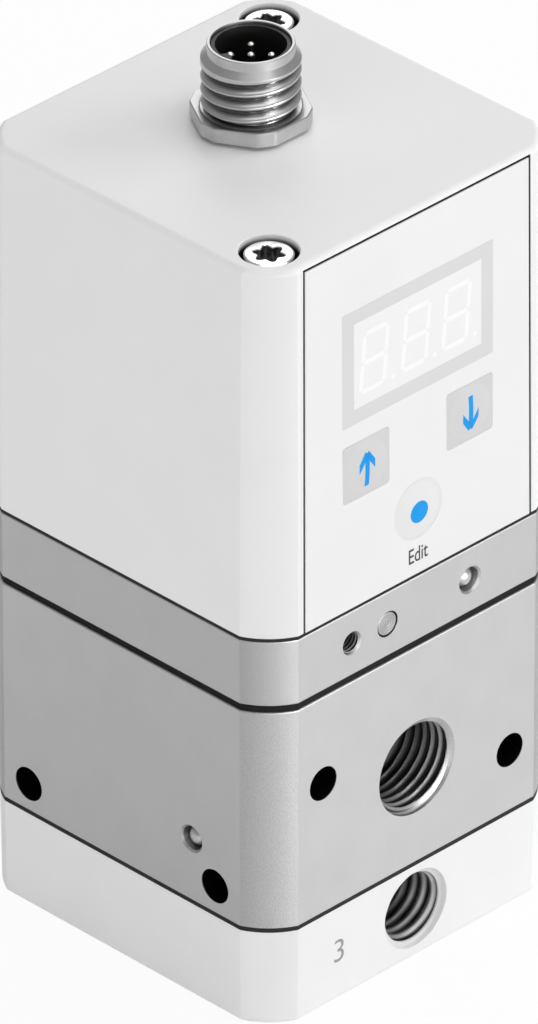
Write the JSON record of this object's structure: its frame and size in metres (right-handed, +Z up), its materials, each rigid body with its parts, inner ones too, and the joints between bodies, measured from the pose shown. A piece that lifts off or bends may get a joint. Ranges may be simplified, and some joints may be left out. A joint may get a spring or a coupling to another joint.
{
  "type": "electro pneumatic regulator",
  "caption": "Square-column electro pneumatic pressure regulator with display, keys, round plug connector, aluminium valve body with threaded ports and exhaust cover.",
  "frame": {"origin": "middle of the underside of the exhaust cover, on the column's axis", "axes": "+Z up towards the plug connector, -Y out of the front face with display, keys and exhaust port"},
  "size_m": [0.05, 0.0501, 0.1157],
  "materials": {
    "white_plastic": "white moulded plastic, fine matt texture",
    "blasted_aluminium": "bead-blasted natural aluminium",
    "dark_bush": "dark plated threaded bush",
    "black_rubber": "black sealing rubber",
    "panel_film": "white printed film, satin",
    "display_window": "light display window",
    "key_film": "light grey film key",
    "bright_steel": "bright steel",
    "nickel_plate": "nickel-plated brass",
    "plated_contacts": "plated brass contacts",
    "black_plastic": "black moulded plastic",
    "turned_brass": "turned brass",
    "circuit_board": "green glass-fibre board",
    "coil_housing": "black moulded coil housing"
  },
  "bodies": {
    "regulator": {"exhaust_cover": "white_plastic", "housing_cover": "white_plastic", "valve_body": "blasted_aluminium", "pilot_manifold": "blasted_aluminium", "exhaust_port_bush": "dark_bush", "exhaust_gasket": "black_rubber", "body_gasket": "black_rubber", "cover_gasket": "black_rubber", "guide_seal": "black_rubber", "connector_seal": "black_rubber", "front_panel": "panel_film", "display_lens": "display_window", "cover_screw_front": "bright_steel", "cover_screw_back": "bright_steel", "manifold_plug": "bright_steel", "manifold_ball": "bright_steel", "body_ball": "bright_steel", "poppet_spring": "bright_steel", "pilot_sensor": "bright_steel", "outlet_sensor": "bright_steel", "assembly_screw_left": "bright_steel", "assembly_screw_right": "bright_steel", "base_screw_left": "bright_steel", "base_screw_right": "bright_steel", "connector_shell": "nickel_plate", "connector_nut": "nickel_plate", "contact_pin_1": "plated_contacts", "contact_pin_2": "plated_contacts", "contact_pin_3": "plated_contacts", "contact_pin_4": "plated_contacts", "contact_pin_5": "plated_contacts", "connector_insert": "black_plastic", "display_module": "black_plastic", "switch_up": "black_plastic", "switch_down": "black_plastic", "switch_set": "black_plastic", "display_link": "black_plastic", "sensor_link": "black_plastic", "connector_link": "black_plastic", "poppet_guide": "turned_brass", "display_board": "circuit_board", "main_board": "circuit_board", "sensor_board": "circuit_board", "connector_board": "circuit_board", "pilot_valve_fill": "coil_housing", "pilot_valve_vent": "coil_housing"},
    "key_up": {"key_up": "key_film"},
    "key_down": {"key_down": "key_film"},
    "key_set": {"key_set": "key_film"},
    "poppet": {"main_poppet": "turned_brass", "poppet_seal": "black_rubber"},
    "piston": {"control_piston": "blasted_aluminium", "piston_seal": "black_rubber"}
  },
  "joints": [
    {"name": "key_up_press", "type": "slide", "parent": "regulator", "child": "key_up", "axis": [0, 1, 0], "range_m": [0, 0.0004], "stiffness_N_per_m": 2000, "springref_m": -0.0001},
    {"name": "key_down_press", "type": "slide", "parent": "regulator", "child": "key_down", "axis": [0, 1, 0], "range_m": [0, 0.0004], "stiffness_N_per_m": 2000, "springref_m": -0.0001},
    {"name": "key_set_press", "type": "slide", "parent": "regulator", "child": "key_set", "axis": [0, 1, 0], "range_m": [0, 0.0004], "stiffness_N_per_m": 2000, "springref_m": -0.0001},
    {"name": "poppet_stroke", "type": "slide", "parent": "regulator", "child": "poppet", "axis": [0, 0, -1], "range_m": [0, 0.002], "stiffness_N_per_m": 1500, "springref_m": -0.001, "deforming": ["poppet_spring"]},
    {"name": "piston_relief", "type": "slide", "parent": "poppet", "child": "piston", "axis": [0, 0, 1], "range_m": [0, 0.001]}
  ]
}
